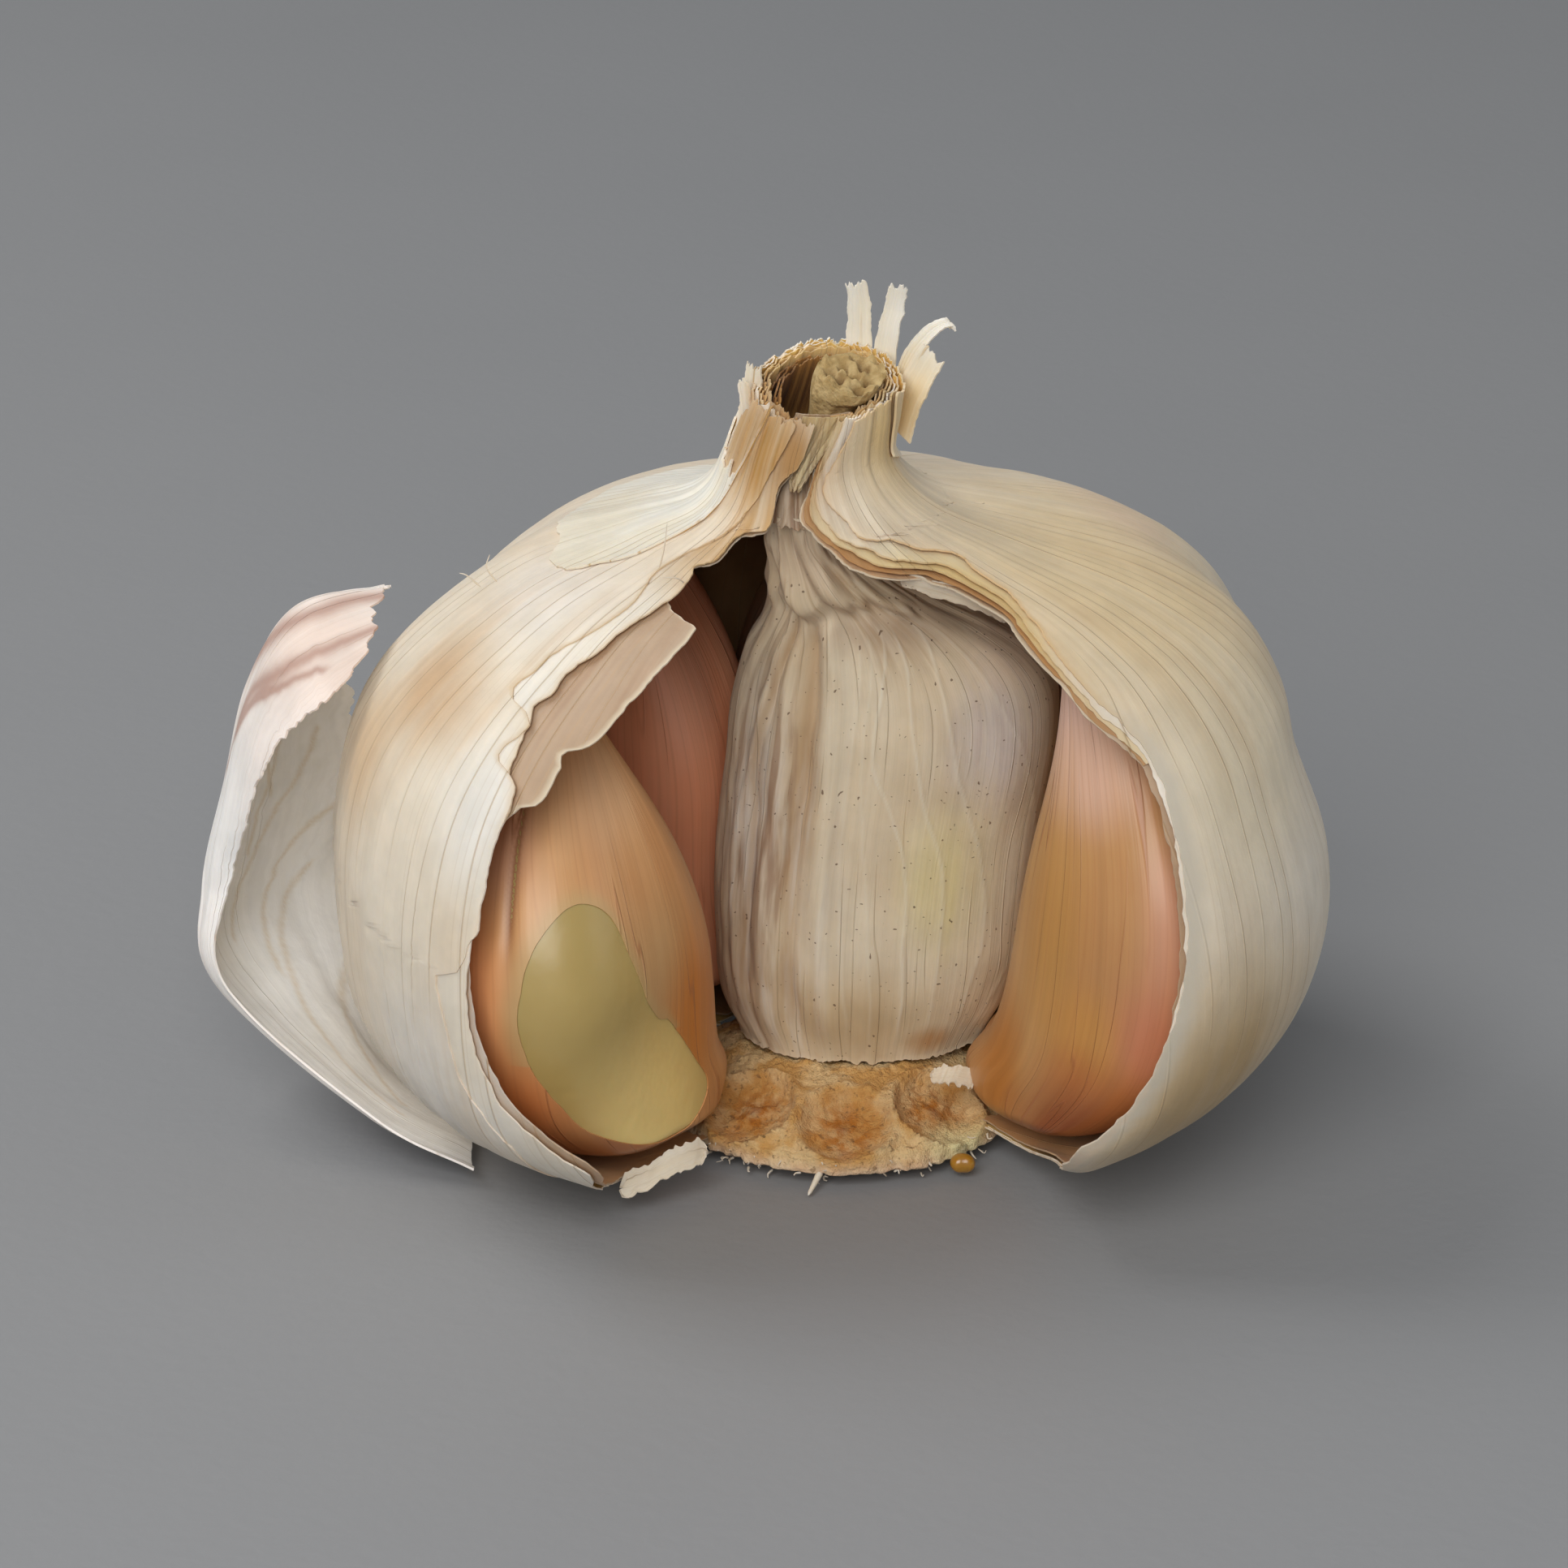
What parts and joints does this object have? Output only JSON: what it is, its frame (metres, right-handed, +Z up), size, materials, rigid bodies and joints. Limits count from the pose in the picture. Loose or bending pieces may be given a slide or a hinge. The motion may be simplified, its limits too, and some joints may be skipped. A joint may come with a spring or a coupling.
{
  "type": "garlic bulb",
  "caption": "Garlic bulb with cloves taken out of its front: papery skins torn open round the cloves left, a cut neck and a corky root plate.",
  "frame": {"origin": "centre of the root plate's flat foot, where the bulb rests", "axes": "+Z up through the neck, the torn opening faces -Y, +X to the right of a viewer who looks into the opening"},
  "size_m": [0.069, 0.0543, 0.0526],
  "materials": {
    "cork": "dry corky root plate",
    "pith": "dry pithy stalk",
    "clove_skin": "smooth tan and pink clove skin with fine veins",
    "clove_leaf": "thin grey and cream dried leaf",
    "clove_flesh": "bare pale yellow flesh, slightly moist",
    "inner_paper": "thin tan dried leaf",
    "outer_paper": "cream and white papery skin with fine veins",
    "peeled_paper": "white papery skin, bluish inside"
  },
  "bodies": {
    "root": {"root_plate": "cork", "flower_stalk": "pith", "clove_middle": "clove_skin", "middle_leaf": "clove_leaf", "clove_left": "clove_flesh", "clove_left_skin": "clove_skin", "clove_left_back": "clove_skin", "clove_back": "clove_skin", "clove_right_back": "clove_skin", "clove_right": "clove_skin", "neck_roll": "inner_paper", "under_skin": "inner_paper", "outer_skin": "outer_paper", "collar": "outer_paper", "peeled_skin": "peeled_paper"}
  },
  "joints": []
}
